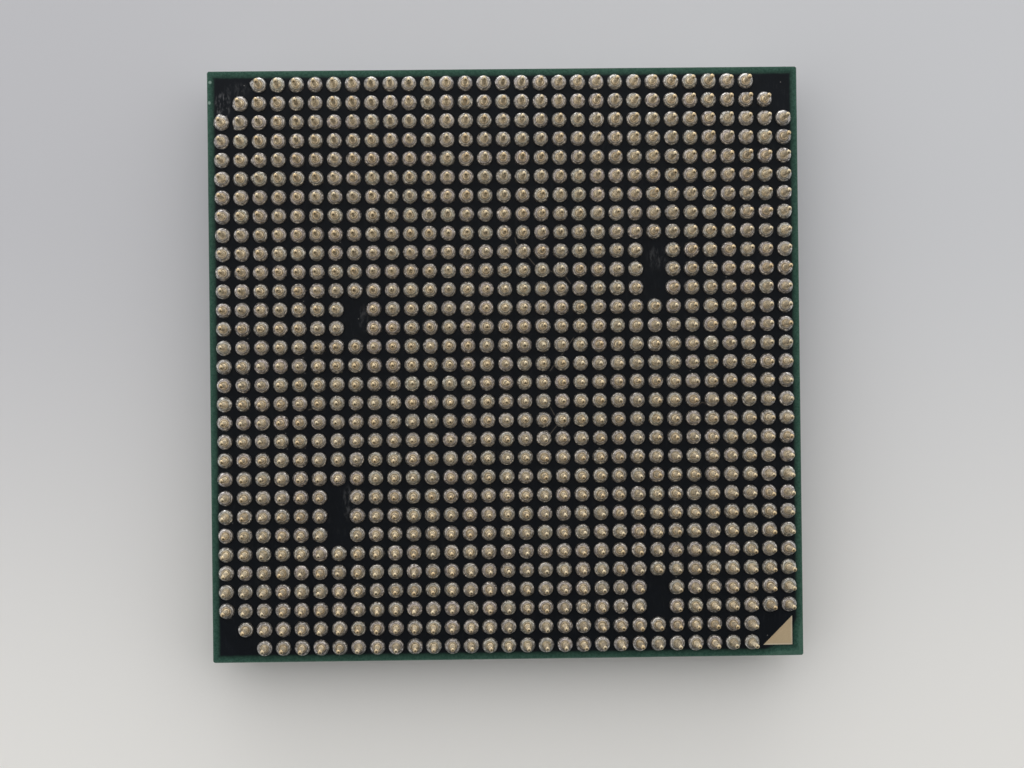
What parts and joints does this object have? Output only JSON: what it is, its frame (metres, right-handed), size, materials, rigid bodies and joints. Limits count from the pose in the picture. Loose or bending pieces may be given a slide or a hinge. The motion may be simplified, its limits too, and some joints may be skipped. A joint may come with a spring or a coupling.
{
  "type": "computer processor",
  "caption": "Square lidded pin-grid processor: laminate board with soldered gold pins on one face and a metal heat spreader on the other.",
  "frame": {"origin": "centre of the lid's outer face, on the surface that the part lies on", "axes": "+Z from the lid to the pin tips; +X and +Y along the board's edges, right and up when the pins are seen as in the picture"},
  "size_m": [0.04, 0.04, 0.0056],
  "materials": {
    "laminate": "satin solder mask, near black over the copper plane and green at the border",
    "gold_plate": "thin satin gold plating",
    "solder": "dull reflowed solder",
    "gold_mark": "matte gold plating",
    "nickel_plate": "satin nickel plating",
    "sealant": "matte",
    "silicon": "polished",
    "interface_metal": "dull soft metal",
    "resin": "satin",
    "ceramic": "matte",
    "tin_plate": "dull tin"
  },
  "bodies": {
    "root": {"substrate": "laminate", "contact_pins": "gold_plate", "solder_joints": "solder", "pin_side_mark": "gold_mark", "lid": "nickel_plate", "lid_adhesive": "sealant", "die": "silicon", "thermal_interface": "interface_metal", "underfill": "resin", "capacitor_bodies": "ceramic", "capacitor_terminals": "tin_plate", "lid_side_mark": "gold_mark"}
  },
  "joints": []
}
